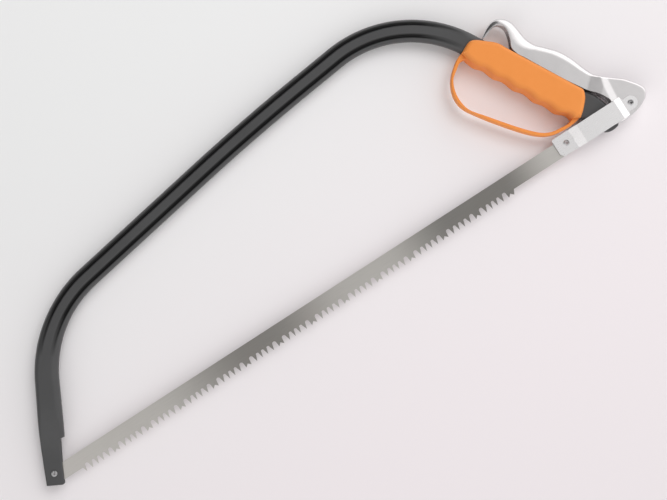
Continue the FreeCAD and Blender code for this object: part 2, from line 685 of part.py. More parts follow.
def make_grip():
    """One moulding: palm swell on the tube, with a knuckle guard in front of the fingers."""
    body = prism(grip_body_outline(), -GRIP_HALF, GRIP_HALF)
    rims = [e for e in body.Edges if abs(abs(e.CenterOfMass.z) - GRIP_HALF) < 0.01]
    body = soften(body, rims, GRIP_ROUND)
    guard = prism(grip_outline(), -GUARD_HALF, GUARD_HALF).cut(prism(finger_hole(), -20, 20))
    rims = [e for e in guard.Edges if abs(abs(e.CenterOfMass.z) - GUARD_HALF) < 0.01]
    guard = soften(guard, rims, GUARD_ROUND)
    tube = skin(GRIP_STATIONS + PRESS_STATIONS[1:], False, GRIP_FIT)
    tube = tube[0].multiFuse(tube[1:])
    plate = prism(heel_outline(-GRIP_FIT), -HEEL_THICK / 2 - GRIP_FIT, HEEL_THICK / 2 + GRIP_FIT)
    return body.fuse(guard).cut(tube).cut(plate).removeSplitter()


# ---- all the pieces ----------------------------------------------------------------------------------
def make_all():
    return {
        "bow_frame": make_bow_frame(),
        "grip": make_grip(),
        "toe_pin": make_toe_pin(),
        "saw_blade": make_saw_blade(),
        "blade_pin": make_blade_pin(),
        "link_plate_front": make_link_plate(1),
        "link_plate_rear": make_link_plate(-1),
        "link_pin": make_link_pin(),
        "link_spacer": make_link_spacer(),
        "tension_lever": make_tension_lever(),
        "pivot_rivet": make_pivot_rivet(),
        "pivot_sleeve": make_pivot_sleeve(),
        "pivot_washer_front": make_pivot_washer(1),
        "pivot_washer_rear": make_pivot_washer(-1),
    }


def place(shapes):
    """Move everything so that the origin is at the middle of the underside."""
    box = FreeCAD.BoundBox()
    for shape in shapes.values():
        for point in shape.tessellate(0.05)[0]:
            box.add(point)
    shift = vec(-(box.XMin + box.XMax) / 2, -(box.YMin + box.YMax) / 2, -box.ZMin)
    for shape in shapes.values():
        shape.translate(shift)
    return shift


shapes = make_all()
shift = place(shapes)
for name, shape in shapes.items():
    shape.exportStep("parts/" + name + ".step")
print("origin shift", tuple(round(v, 4) for v in shift))
for name, spot in (("toe pin", (0, 0)), ("blade pin", BLADE_PIN), ("link pin", LINK_PIN), ("pivot", PIVOT)):
    print(name, round(spot[0] + shift.x, 4), round(spot[1] + shift.y, 4))
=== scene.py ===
import json
import math
import bpy
import numpy as np
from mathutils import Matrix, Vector


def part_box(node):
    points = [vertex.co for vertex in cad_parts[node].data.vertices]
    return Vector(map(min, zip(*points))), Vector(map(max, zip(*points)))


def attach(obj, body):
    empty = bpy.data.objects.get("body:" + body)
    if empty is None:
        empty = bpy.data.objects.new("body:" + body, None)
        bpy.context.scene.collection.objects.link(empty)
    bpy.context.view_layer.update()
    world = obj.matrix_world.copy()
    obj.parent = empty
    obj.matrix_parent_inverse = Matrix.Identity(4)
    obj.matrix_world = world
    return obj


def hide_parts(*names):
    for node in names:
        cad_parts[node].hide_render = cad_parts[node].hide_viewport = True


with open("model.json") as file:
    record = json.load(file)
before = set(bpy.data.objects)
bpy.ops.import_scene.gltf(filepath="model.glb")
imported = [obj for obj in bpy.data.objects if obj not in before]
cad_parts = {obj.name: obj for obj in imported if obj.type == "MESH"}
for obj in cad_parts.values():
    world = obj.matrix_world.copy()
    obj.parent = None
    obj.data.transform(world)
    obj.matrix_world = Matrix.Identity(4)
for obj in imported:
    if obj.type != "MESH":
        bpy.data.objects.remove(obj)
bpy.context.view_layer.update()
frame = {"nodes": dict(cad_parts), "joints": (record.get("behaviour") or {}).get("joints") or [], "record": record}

# ---- places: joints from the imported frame, and the blade pin, which has no joint of its own ------
MM = 0.001
PER_METRE = 1000.0                # millimetres
JOINTS = {j["name"]: Vector(j["pos_m"]) for j in frame["joints"]}
TOE = JOINTS["blade_swing"]
PIVOT = JOINTS["lever_pivot"]
LINK_PIN = JOINTS["link_pivot"]
BLADE_PIN_FROM_LINK_PIN = Vector((-0.0735, 0.0008, 0.0))


def saw(x, y, z=0.0):
    """A point given in millimetres from the toe pin: x along the blade, y to the bow, z across."""
    return Vector((TOE.x + x * MM, TOE.y + y * MM, TOE.z + z * MM))


# ---- camera, floor and light ---------------------------------------------------------------------
VIEW_TURN = math.radians(-32.88)
VIEW_RIGHT = Vector((math.cos(VIEW_TURN), math.sin(VIEW_TURN), 0.0))
VIEW_UP = Vector((-math.sin(VIEW_TURN), math.cos(VIEW_TURN), 0.0))
CAMERA_HEIGHT = 0.9245            # above the saw's middle plane
CAMERA_OVER = (354.2, 36.2)       # the saw's point under the camera
LENS = 50.0
SENSOR_WIDTH = 36.0
FAR_CLIP = 20.0


def add_camera():
    """Straight above the saw, turned so that the blade rises to the right."""
    data = bpy.data.cameras.new("camera")
    data.lens = LENS
    data.sensor_width = SENSOR_WIDTH
    data.clip_end = FAR_CLIP
    camera = bpy.data.objects.new("camera", data)
    bpy.context.scene.collection.objects.link(camera)
    camera.location = saw(*CAMERA_OVER) + Vector((0.0, 0.0, CAMERA_HEIGHT))
    camera.rotation_euler = (0.0, 0.0, VIEW_TURN)
    bpy.context.scene.camera = camera


class Nodes:
    """Short ways to add and join shader nodes."""

    def __init__(self, tree):
        self.tree = tree
        tree.nodes.clear()

    def add(self, kind, **values):
        node = self.tree.nodes.new(kind)
        for key, value in values.items():
            setattr(node, key, value)
        return node

    def feed(self, socket, value):
        if isinstance(value, bpy.types.NodeSocket):
            self.tree.links.new(value, socket)
        else:
            socket.default_value = value

    def math(self, operation, *inputs):
        node = self.add("ShaderNodeMath", operation=operation)
        for socket, value in zip(node.inputs, inputs):
            self.feed(socket, value)
        return node.outputs[0]

    def dot(self, a, b):
        node = self.add("ShaderNodeVectorMath", operation="DOT_PRODUCT")
        self.feed(node.inputs[0], a)
        self.feed(node.inputs[1], b)
        return node.outputs["Value"]

    def span(self, value, low, high, to_low=0.0, to_high=1.0):
        """Smooth step of a value from one range to another."""
        node = self.add("ShaderNodeMapRange", interpolation_type="SMOOTHSTEP")
        for socket, v in zip(node.inputs[:5], (value, low, high, to_low, to_high)):
            self.feed(socket, v)
        return node.outputs[0]

    def mix(self, share, a, b, blend="MIX"):
        node = self.add("ShaderNodeMix", data_type="RGBA", blend_type=blend)
        self.feed(node.inputs[0], share)
        self.feed(node.inputs[6], a if isinstance(a, bpy.types.NodeSocket) else (*a, 1.0))
        self.feed(node.inputs[7], b if isinstance(b, bpy.types.NodeSocket) else (*b, 1.0))
        return node.outputs[2]

    def grey(self, value):
        node = self.add("ShaderNodeCombineColor")
        for socket in node.inputs[:3]:
            self.feed(socket, value)
        return node.outputs[0]

    def place(self, stretch=(1.0, 1.0, 1.0)):
        """Object coordinates in millimetres, stretched."""
        coordinates = self.add("ShaderNodeTexCoord")
        mapping = self.add("ShaderNodeMapping")
        mapping.inputs["Scale"].default_value = tuple(PER_METRE * s for s in stretch)
        self.tree.links.new(coordinates.outputs["Object"], mapping.inputs["Vector"])
        return mapping.outputs[0]

    def noise(self, where, scale, detail=4.0, roughness=0.6):
        node = self.add("ShaderNodeTexNoise")
        self.feed(node.inputs["Vector"], where)
        node.inputs["Scale"].default_value = scale
        node.inputs["Detail"].default_value = detail
        node.inputs["Roughness"].default_value = roughness
        return node.outputs[0]

    def surface(self, **values):
        """Output and principled shader, with sockets fed by name."""
        out = self.add("ShaderNodeOutputMaterial")
        shader = self.add("ShaderNodeBsdfPrincipled")
        for key, value in values.items():
            self.feed(shader.inputs[key.replace("_", " ")], value)
        self.tree.links.new(shader.outputs[0], out.inputs[0])

    def bump(self, height, strength, distance=0.0002):
        node = self.add("ShaderNodeBump")
        node.inputs["Strength"].default_value = strength
        node.inputs["Distance"].default_value = distance
        self.feed(node.inputs["Height"], height)
        return node.outputs[0]


def new_material(name):
    material = bpy.data.materials.new(name)
    material.use_nodes = True
    return material, Nodes(material.node_tree)


FLOOR_HALF = 3.0
FLOOR_NEUTRAL = (0.86, 0.862, 0.864)
# Painted tint of light on the floor, towards the lower right.
FLOOR_ROSY = (0.91, 0.85, 0.875)
FLOOR_CHANGE = (-0.25, 0.3)       # metres from the middle, towards the lower right of the view


def add_floor():
    """A plain pale floor with a painted tint of light, turning a little rosy towards the lower right."""
    mesh = bpy.data.meshes.new("floor")
    corners = [(x * FLOOR_HALF, y * FLOOR_HALF, 0) for x, y in ((-1, -1), (1, -1), (1, 1), (-1, 1))]
    mesh.from_pydata(corners, [], [(0, 1, 2, 3)])
    floor = bpy.data.objects.new("floor", mesh)
    bpy.context.scene.collection.objects.link(floor)
    material, n = new_material("floor_pale")
    coordinates = n.add("ShaderNodeTexCoord").outputs["Object"]
    across = n.dot(coordinates, tuple(VIEW_RIGHT * 0.6 - VIEW_UP * 0.8))
    colour = n.mix(n.span(across, *FLOOR_CHANGE), FLOOR_NEUTRAL, FLOOR_ROSY)
    n.surface(Base_Color=colour, Roughness=0.95)
    mesh.materials.append(material)


KEY_PLACE = VIEW_UP * 0.9 + VIEW_RIGHT * 0.5 + Vector((0, 0, 1.7))
KEY_SIZE = (1.6, 1.2)
KEY_POWER = 14.5
STUDIO_TINT = (1.0, 0.995, 0.99, 1.0)
STUDIO_BASE = 0.68
# Parts of the studio: the way to each, the cosines where it starts and is whole, its value at both.
HEEL_SIDE = ((0.83, 0.34, 0.44), 0.6, 1.0, 0.0, 0.85)
TOE_SIDE = ((-0.86, -0.24, 0.45), 0.65, 0.98, 0.0, 0.8)
BESIDE = ((-0.18, 0.73, 0.66), 0.63, 0.82, 1.0, 0.12)
BEHIND = ((-0.75, 0.64, 0.1), 0.6, 0.92, 1.0, 0.05)


def add_key():
    """A large soft lamp that shiny pieces don't mirror."""
    data = bpy.data.lights.new("key", "AREA")
    data.shape = "RECTANGLE"
    data.size, data.size_y = KEY_SIZE
    data.energy = KEY_POWER
    lamp = bpy.data.objects.new("key", data)
    bpy.context.scene.collection.objects.link(lamp)
    lamp.location = KEY_PLACE
    lamp.rotation_euler = (-KEY_PLACE).to_track_quat("-Z", "Y").to_euler()
    lamp.visible_glossy = False


def add_studio():
    """A pale studio: brighter at both ends of the saw, dimmer beside and behind it."""
    world = bpy.data.worlds.new("studio")
    bpy.context.scene.world = world
    world.use_nodes = True
    n = Nodes(world.node_tree)
    way = n.add("ShaderNodeTexCoord").outputs["Generated"]
    heel_side, toe_side, beside, behind = (
        n.span(n.dot(way, toward), *steps) for toward, *steps in (HEEL_SIDE, TOE_SIDE, BESIDE, BEHIND))
    total = n.math("ADD", n.math("ADD", heel_side, toe_side), STUDIO_BASE)
    total = n.math("MULTIPLY", n.math("MULTIPLY", total, beside), behind)
    background = n.add("ShaderNodeBackground")
    n.feed(background.inputs["Color"], STUDIO_TINT)
    n.feed(background.inputs["Strength"], total)
    out = n.add("ShaderNodeOutputWorld")
    n.tree.links.new(background.outputs[0], out.inputs[0])


# ---- materials -----------------------------------------------------------------------------------
PAINT_TONES = ((0.062, 0.062, 0.063), (0.078, 0.078, 0.080))
PAINT_SPECK = (0.11, 0.11, 0.112)
# Painted shade: the colour the paint turns to down in the tube's grooves.
PAINTED_GROOVE_SHADE = (0.004, 0.004, 0.004)
PLASTIC_TONES = ((0.83, 0.275, 0.055), (0.90, 0.315, 0.075))
BLADE_PALE_TONES = ((0.66, 0.615, 0.59), (0.70, 0.69, 0.65))
BLADE_DEEP_TONES = ((0.27, 0.255, 0.235), (0.31, 0.30, 0.285))
LINK_TONES = ((0.90, 0.885, 0.89), (0.97, 0.955, 0.96))
LINK_PIT = (0.78, 0.77, 0.77)
CHROME_TONES = ((0.72, 0.70, 0.705), (0.82, 0.80, 0.805))
PIN_TONES = ((0.62, 0.62, 0.63), (0.8, 0.8, 0.8))


def paint():
    """Semi-gloss dark paint, with painted shade making it duller and darker down in the tube's grooves."""
    material, n = new_material("frame_paint")
    fine = n.noise(n.place(), 0.9, 3.0)
    broad = n.noise(n.place(), 0.03, 3.0)
    specks = n.span(n.noise(n.place(), 0.5, 6.0, 0.75), 0.68, 0.76, 0.0, 0.25)
    groove = n.add("ShaderNodeAttribute", attribute_name="groove").outputs["Fac"]
    colour = n.mix(broad, *PAINT_TONES)
    colour = n.mix(specks, colour, PAINT_SPECK)
    # Painted shade: the paint darkens towards near black where the groove attribute is high.
    colour = n.mix(n.math("POWER", groove, 0.6), colour, PAINTED_GROOVE_SHADE)
    n.surface(Base_Color=colour, Roughness=n.span(broad, 0.3, 0.7, 0.3, 0.38), Normal=n.bump(fine, 0.1),
              Specular_IOR_Level=0.35)
    return material


def plastic():
    """Moulded orange plastic with a fine grain."""
    material, n = new_material("grip_plastic")
    grain = n.noise(n.place(), 2.2, 2.0)
    broad = n.noise(n.place(), 0.04, 3.0)
    colour = n.mix(broad, *PLASTIC_TONES)
    rough = n.span(grain, 0.3, 0.7, 0.5, 0.62)
    n.surface(Base_Color=colour, Roughness=rough, Normal=n.bump(grain, 0.22), Specular_IOR_Level=0.35)
    return material


# Dark bands on the blade, in millimetres from the toe pin: start, full, waning, end.
DARK_BANDS = ((110, 235, 250, 350), (385, 470, 530, 590))


def blade_steel():
    """Ground strip steel: fine lengthwise grain, broad warm and dark bands along its length."""
    material, n = new_material("blade_steel")
    grain = n.noise(n.place((0.02, 1.0, 1.0)), 2.5, 4.0)
    where = n.add("ShaderNodeTexCoord").outputs["Object"]
    x = n.math("SUBTRACT", n.dot(where, (PER_METRE, 0.0, 0.0)), TOE.x / MM)
    first, second = (n.math("MULTIPLY", n.span(x, start, full), n.span(x, wane, end, 1.0, 0.0))
                     for start, full, wane, end in DARK_BANDS)
    dark = n.math("MAXIMUM", n.math("MULTIPLY", first, 0.85), second)
    warm = n.noise(n.place((1.0, 0.25, 1.0)), 0.012, 2.0)
    colour = n.mix(dark, n.mix(warm, *BLADE_PALE_TONES), n.mix(warm, *BLADE_DEEP_TONES))
    colour = n.mix(0.35, colour, n.grey(n.span(grain, 0.25, 0.75, 0.72, 1.0)), "MULTIPLY")
    n.surface(Base_Color=colour, Metallic=0.9, Roughness=n.span(grain, 0.3, 0.7, 0.3, 0.42),
              Normal=n.bump(grain, 0.08))
    return material


def link_steel():
    """Bright satin plate with a few small pits."""
    material, n = new_material("link_steel")
    grain = n.noise(n.place((0.08, 1.0, 1.0)), 2.0, 4.0)
    pits = n.span(n.noise(n.place(), 0.8, 5.0, 0.7), 0.62, 0.72, 0.0, 0.3)
    colour = n.mix(grain, *LINK_TONES)
    colour = n.mix(pits, colour, LINK_PIT)
    n.surface(Base_Color=colour, Metallic=1.0, Roughness=n.span(grain, 0.3, 0.7, 0.26, 0.36),
              Normal=n.bump(grain, 0.1))
    return material


def chrome():
    """Nickel plate: bright, a little uneven, with fine wipe marks."""
    material, n = new_material("lever_chrome")
    wipe = n.noise(n.place((0.3, 1.0, 1.0)), 0.9, 5.0, 0.7)
    broad = n.noise(n.place(), 0.035, 3.0)
    colour = n.mix(broad, *CHROME_TONES)
    n.surface(Base_Color=colour, Metallic=1.0, Roughness=n.span(wipe, 0.3, 0.7, 0.2, 0.27),
              Normal=n.bump(broad, 0.25, 0.0006))
    return material


def pin_steel():
    """Plain bright spring steel."""
    material, n = new_material("pin_steel")
    grain = n.noise(n.place(), 1.6, 4.0)
    colour = n.mix(grain, *PIN_TONES)
    n.surface(Base_Color=colour, Metallic=1.0, Roughness=n.span(grain, 0.3, 0.7, 0.2, 0.34),
              Normal=n.bump(grain, 0.1))
    return material


# ---- meshes --------------------------------------------------------------------------------------
# Angles in degrees from which an edge stays sharp.
SHARP_CAD = 35.0
SHARP_TUBE = 40.0
SHARP_LEVER = 32.0
SHARP_COIL = 30.0
LEAST_STEP = 0.5                  # counted between two rows of a curve


def new_piece(name, points, faces, finish, body, nodes, sharp):
    """A piece of the visual model, in place of CAD nodes: points in millimetres from the toe pin."""
    mesh = bpy.data.meshes.new(name)
    mesh.from_pydata([tuple(saw(*p)) for p in points], [], faces)
    mesh.validate()
    piece = bpy.data.objects.new(name, mesh)
    bpy.context.scene.collection.objects.link(piece)
    finish_piece(piece, sharp)
    mesh.materials.append(MATERIALS[finish])
    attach(piece, body)
    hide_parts(*nodes)
    return piece


def finish_piece(piece, sharp):
    piece.data.shade_smooth()
    piece.data.set_sharp_from_angle(angle=math.radians(sharp))


def ease(low, high, low_slope, high_slope, run, u):
    """Cubic between two values with given slopes, at a share u of the run between them."""
    return ((2 * u**3 - 3 * u**2 + 1) * low + (u**3 - 2 * u**2 + u) * run * low_slope
            + (3 * u**2 - 2 * u**3) * high + (u**3 - u**2) * run * high_slope)


def blend(low, high, share):
    return low + (high - low) * share


def through(points, count):
    """A smooth curve through rows of values, as evenly counted rows."""
    rows = np.asarray(points, float)
    steps = np.linalg.norm(np.diff(rows[:, :2], axis=0), axis=1)
    at = np.concatenate([[0.0], np.cumsum(np.maximum(steps, LEAST_STEP))])
    slopes = np.gradient(rows, at, axis=0)
    out = []
    for t in np.linspace(0.0, at[-1], count):
        k = min(len(at) - 2, int(np.searchsorted(at, t, side="right")) - 1)
        run = at[k + 1] - at[k]
        out.append(ease(rows[k], rows[k + 1], slopes[k], slopes[k + 1], run, (t - at[k]) / run))
    return np.array(out)


def through_at(rows, where):
    """Smoothly interpolated values at one place, for rows that start with their place."""
    slopes = np.gradient(rows[:, 1:], rows[:, 0], axis=0)
    k = max(0, min(len(rows) - 2, int(np.searchsorted(rows[:, 0], where)) - 1))
    run = rows[k + 1, 0] - rows[k, 0]
    return ease(rows[k, 1:], rows[k + 1, 1:], slopes[k], slopes[k + 1], run, (where - rows[k, 0]) / run)


# ---- the bow tube --------------------------------------------------------------------------------
# The centreline runs from the toe pin to the lever pivot through three rounded corners.
TOE_LEG_ANGLE = math.radians(62.0)
HEEL_LEG_ANGLE = math.radians(61.5)
TOE_CORNER_HEIGHT = 136.2
BOW_HEIGHT = 205.2
CROWN_SHARE = 0.584               # of the way from the toe's corner to the heel's
CROWN_RISE = (0.0, 6.6)
BENDS = (126.6, 2270.0, 121.0)    # radii at the toe's corner, the crown and the heel's corner
TUBE_HALF = 11.2
TUBE_THICK = 14.0
GRIP_END_HALF = 11.6
HEEL_THICK = 9.4
HEEL_RADIUS = 11.8
HEEL_REACH = 11.79                # of the last ring, just short of the round tip
HEEL_RIM = 3.6
TOE_CORNER = (TOE_CORNER_HEIGHT / math.tan(TOE_LEG_ANGLE), TOE_CORNER_HEIGHT)
PIVOT_SAW = ((PIVOT.x - TOE.x) / MM, (PIVOT.y - TOE.y) / MM)
HEEL_CORNER = (PIVOT_SAW[0] - (BOW_HEIGHT - PIVOT_SAW[1]) / math.tan(HEEL_LEG_ANGLE), BOW_HEIGHT)
CROWN = tuple(blend(a, b, CROWN_SHARE) + rise for a, b, rise in zip(TOE_CORNER, HEEL_CORNER, CROWN_RISE))


def bow_pieces():
    """Straight and curved pieces of the centreline: start, heading, length, signed radius."""
    spots = [(0.0, 0.0), TOE_CORNER, CROWN, HEEL_CORNER, PIVOT_SAW]
    headings = [math.atan2(b[1] - a[1], b[0] - a[0]) for a, b in zip(spots, spots[1:])]
    pieces = []
    at = spots[0]
    for k, heading in enumerate(headings):
        ahead = spots[k + 1]
        run = math.hypot(ahead[0] - at[0], ahead[1] - at[1])
        if k == len(BENDS):
            pieces.append((at, heading, run, 0.0))
            break
        turn = headings[k + 1] - heading
        reach = BENDS[k] * math.tan(abs(turn) / 2)
        pieces.append((at, heading, run - reach, 0.0))
        start = (ahead[0] - reach * math.cos(heading), ahead[1] - reach * math.sin(heading))
        pieces.append((start, heading, BENDS[k] * abs(turn), math.copysign(BENDS[k], turn)))
        at = (ahead[0] + reach * math.cos(headings[k + 1]), ahead[1] + reach * math.sin(headings[k + 1]))
    return pieces


BOW = bow_pieces()
BOW_LENGTH = sum(piece[2] for piece in BOW)


def bow_station(distance):
    """Point and heading on the centreline; straight on beyond its two ends."""
    for piece in BOW:
        start, heading, length, radius = piece
        if distance <= length or piece is BOW[-1]:
            break
        distance -= length
    if radius == 0.0:
        return start[0] + distance * math.cos(heading), start[1] + distance * math.sin(heading), heading
    turned = heading + distance / radius
    return (start[0] + radius * (math.sin(turned) - math.sin(heading)),
            start[1] - radius * (math.cos(turned) - math.cos(heading)), turned)


GROOVE_START = BOW[0][2] + 0.62 * BOW[1][2]                     # within the toe's bend
GRIP_START = BOW_LENGTH - BOW[-1][2] - 0.36 * BOW[-2][2]       # within the heel's bend
GROOVE_PLACE = 6.0                # from the centreline, one groove on each side of it
GROOVE_HALF = 2.4
GROOVE_DEPTH = 2.3
TOE_GROOVE_FADE = 45.0            # the length in which the grooves grow deep
GRIP_GROOVE_FADE = 3.6            # the grooves end 1 / 3.6 of the way from the grip to the heel
# Rows along the tube, by distance from the toe pin: outer side, blade side, thickness, rim radius.
TOE_ROWS = [(-11.6, 8.8, 7.6, 5.0, 1.2), (-11.2, 8.9, 8.4, 5.0, 1.2), (-10.2, 9.0, 9.0, 5.0, 1.3),
            (8.0, 10.4, 8.3, 5.0, 1.4), (18.0, 11.0, 8.5, 5.0, 1.6), (26.0, 11.6, 8.7, 5.5, 2.0),
            (34.2, 12.0, 8.8, 6.8, 2.8), (35.4, 12.1, 12.5, 7.0, 3.0), (44.0, 12.4, 12.5, 8.8, 4.0),
            (54.0, 12.5, 12.5, 10.6, 5.0), (64.0, 12.4, 12.4, 11.6, 5.8)]
HEEL_ROWS = [(BOW_LENGTH - up, outer, blade, HEEL_THICK, HEEL_RIM) for up, outer, blade in (
    (46.0, 12.0, 11.3), (34.0, 14.4, 11.4), (23.0, 16.0, 11.6), (11.0, 14.4, 11.7),
    (0.0, HEEL_RADIUS, HEEL_RADIUS))]


def bow_row(distance):
    """Outer side, blade side, thickness, rim radius and groove depth at a distance from the toe pin."""
    if distance < TOE_ROWS[-1][0]:
        rows = np.array(TOE_ROWS)
        return [float(np.interp(distance, rows[:, 0], rows[:, k])) for k in range(1, 5)] + [0.0]
    if distance < GROOVE_START:
        share = (distance - TOE_ROWS[-1][0]) / (GROOVE_START - TOE_ROWS[-1][0])
        half = blend(TOE_ROWS[-1][1], TUBE_HALF, share)
        thick = blend(TOE_ROWS[-1][3], TUBE_THICK, share)
        groove = max(0.0, 1 - (GROOVE_START - distance) / TOE_GROOVE_FADE)
        return [half, half, thick, thick / 2, groove]
    if distance < GRIP_START:
        return [TUBE_HALF, TUBE_HALF, TUBE_THICK, TUBE_THICK / 2, 1.0]
    if distance < HEEL_ROWS[0][0]:
        share = (distance - GRIP_START) / (HEEL_ROWS[0][0] - GRIP_START)
        half = blend(TUBE_HALF, GRIP_END_HALF, share)
        thick = blend(TUBE_THICK, HEEL_THICK, max(0.0, share * 2.0 - 1.0))
        return [half, half, thick, thick / 2, max(0.0, 1 - GRIP_GROOVE_FADE * share)]
    if distance <= BOW_LENGTH:
        rows = np.array(HEEL_ROWS)
        return [float(v) for v in through_at(rows, distance)] + [0.0]
    past = min(distance - BOW_LENGTH, HEEL_REACH)
    half = math.sqrt(HEEL_RADIUS**2 - past**2)
    return [half, half, HEEL_THICK, min(HEEL_RIM, half), 0.0]


RING_STEPS = 30
RING_SPREAD = [math.sin(math.pi / 2 * k / RING_STEPS) for k in range(-RING_STEPS, RING_STEPS + 1)]
RIDGE = 0.001                     # keeps the top and bottom of a fully round side apart


def bow_section(distance):
    """One closed ring of points across the tube."""
    x, y, heading = bow_station(distance)
    outer, blade, thick, rim, grooved = bow_row(distance)
    high = thick / 2
    rim_up = min(rim, high)

    def level(across):
        """Height of the skin over the tube's middle plane."""
        side = outer if across > 0 else blade
        past = max(0.0, abs(across) - (side - rim)) / rim
        up = high - rim_up + rim_up * math.sqrt(max(0.0, 1 - past * past))
        near = (abs(across) - GROOVE_PLACE) / GROOVE_HALF
        if abs(near) < 1:
            up -= grooved * GROOVE_DEPTH * (0.5 + 0.5 * math.cos(math.pi * near))
        return up

    across = [c * (outer if c > 0 else blade) for c in RING_SPREAD]
    top = [(a, level(a)) for a in across]
    bottom = [(a, -level(a)) for a in across[::-1]]
    if high - rim_up < 10 * RIDGE:
        top[0] = (-blade, RIDGE)
        top[-1] = (outer, RIDGE)
        bottom[0] = (outer, -RIDGE)
        bottom[-1] = (-blade, -RIDGE)
    return [(x - a * math.sin(heading), y + a * math.cos(heading), z) for a, z in top + bottom]


TOE_TIP_PLACES = [-11.6, -11.4, -11.2, -10.8]
# Stretches of rings along the tube: start, end and step.
RING_STRETCHES = ((-10.2, 27.0, 1.2), (27.0, 64.0, 0.5), (64.0, BOW_LENGTH, 2.0))
HEEL_TIP_RINGS = 14
# The blade's slot in the toe: places along the leg and beside it.
SLOT_OUTLINE = ((-16, -20), (31, -20), (31, 9.2), (-16, 9.2))
SLOT_HALF = 0.8
TOE_BORE = 3.02
PIVOT_BORE = 3.05


def make_bow():
    """The flattened tube in one skin, with grooves, the blade's slot and two bores."""
    places = list(TOE_TIP_PLACES)
    for start, end, step in RING_STRETCHES:
        places += list(np.arange(start, end, step))
    places += [BOW_LENGTH + HEEL_REACH * math.sin(math.pi / 2 * k / HEEL_TIP_RINGS)
               for k in range(HEEL_TIP_RINGS + 1)]
    rings = np.array([bow_section(p) for p in places])
    count, width = rings.shape[:2]
    faces = []
    for r in range(count - 1):
        for c in range(width):
            d = (c + 1) % width
            faces.append((r * width + c, (r + 1) * width + c, (r + 1) * width + d, r * width + d))
    faces.append(tuple(range(width)))
    faces.append(tuple(range(count * width - 1, (count - 1) * width - 1, -1)))
    bow = new_piece("bow_tube", rings.reshape(-1, 3), faces, "frame_paint", "frame", ["bow_frame"],
                    SHARP_TUBE)
    # Painted shade: a point attribute, full in the middle of each groove and as strong as the groove is deep, that
    # darkens the paint there.
    half_ring = [c * TUBE_HALF for c in RING_SPREAD]
    groove_shade_shares = [max(0.0, 1 - ((abs(a) - GROOVE_PLACE) / GROOVE_HALF) ** 2)
              for a in half_ring + half_ring[::-1]]
    groove_shade = bow.data.attributes.new("groove", "FLOAT", "POINT")
    groove_shade.data.foreach_set("value", [bow_row(p)[4] * share for p in places for share in groove_shade_shares])
    slot = [leg_spot(up, side) for up, side in SLOT_OUTLINE]
    bore(bow, [(TOE, TOE_BORE), (PIVOT, PIVOT_BORE)], [(slot, SLOT_HALF)], SHARP_TUBE)


def leg_spot(up, side):
    """A point beside the toe leg, in metres."""
    return saw(up * math.cos(TOE_LEG_ANGLE) - side * math.sin(TOE_LEG_ANGLE),
               up * math.sin(TOE_LEG_ANGLE) + side * math.cos(TOE_LEG_ANGLE))


# ---- the tension lever ---------------------------------------------------------------------------
# Rows along the lever, from its pivot: back edge x, y, open edge x, y, corner's reach, half width.
LEVER_ROWS = [
    (-60.4, 135.6, -59.3, 134.8, 0.8, 4.4), (-55.6, 139.4, -54.4, 136.4, 2.2, 5.2),
    (-50.8, 142.4, -49.6, 138.3, 3.6, 6.0), (-45, 144.8, -45.2, 139.4, 5.2, 6.4),
    (-38.5, 144.4, -41.2, 139.2, 6.5, 6.6), (-32, 141, -38.0, 136.8, 8.5, 6.7),
    (-27.6, 135, -36.2, 132.6, 10.0, 6.7), (-25.4, 127, -36.2, 127.2, 11.5, 6.7),
    (-24.6, 119, -38.4, 119.2, 12.5, 6.7), (-23.6, 112, -41.4, 112.4, 13.0, 6.6),
    (-19.6, 103, -40.2, 104.6, 12.5, 6.5), (-11.6, 94, -36.0, 97, 11.0, 6.3),
    (-3.4, 84.4, -29.6, 85.2, 9.0, 6.2), (3.6, 71.8, -21.6, 70.6, 7.6, 6.1),
    (9.2, 56, -13.2, 55.4, 6.2, 6.0), (13, 46.5, -7.2, 45.4, 4.8, 6.0), (20, 39, -0.6, 35, 3.6, 6.0),
    (27.5, 32.5, 5.4, 28.2, 3.2, 6.0), (36, 25.5, 10.4, 20, 3.2, 6.0), (42, 18, 12.2, 13.4, 3.0, 6.0),
    (46.4, 11.6, 7.4, 7.6, 3.0, 6.0), (48.4, 6, 0, 7.5, 3.0, 6.0), (47.8, 3, -5.6, 5, 2.8, 6.0),
    (46.6, 1.4, -7.5, 0, 2.6, 6.0), (44, -1.4, -5.6, -5, 2.2, 6.0), (40.4, -3.6, -1, -7.3, 2.0, 6.0),
    (36.4, -5.6, 6, -8.3, 2.0, 6.0), (31, -7.4, 14, -8.9, 1.8, 6.0), (25.6, -8.5, 20, -8.9, 1.0, 6.0)]
LEVER_SHEET = 1.6
LEVER_BORE = 3.1
LEVER_RINGS = 260
WALL_STEPS = 30
CORNER_STEPS = 16
LEAST_REACH = 0.05                # of a section, at the hook's thin tip
LEAST_CORNER = 0.25
CORNER_REACH = 0.92               # the most of a section's reach that its corner takes
CORNER_DEPTH = 0.96               # and of its half width
FULL_INSET_REACH = 6.0            # shorter sections have a thinner web
EAR_RAISE = 1.25
# Slopes round the raised ear: a point on the foot, the direction inwards, and the slope's width.
EAR_SLOPES = [((2.0, 39.5), (0.67, -0.74), 15.0), ((20.5, 24.0), (-0.97, 0.1), 7.0)]


def ear_raise(x, y):
    """How far the wall stands out at a point given from the pivot."""
    share = 1.0
    for (fx, fy), (dx, dy), width in EAR_SLOPES:
        share = min(share, ((x - fx) * dx + (y - fy) * dy) / width)
    return EAR_RAISE * max(0.0, min(1.0, share))


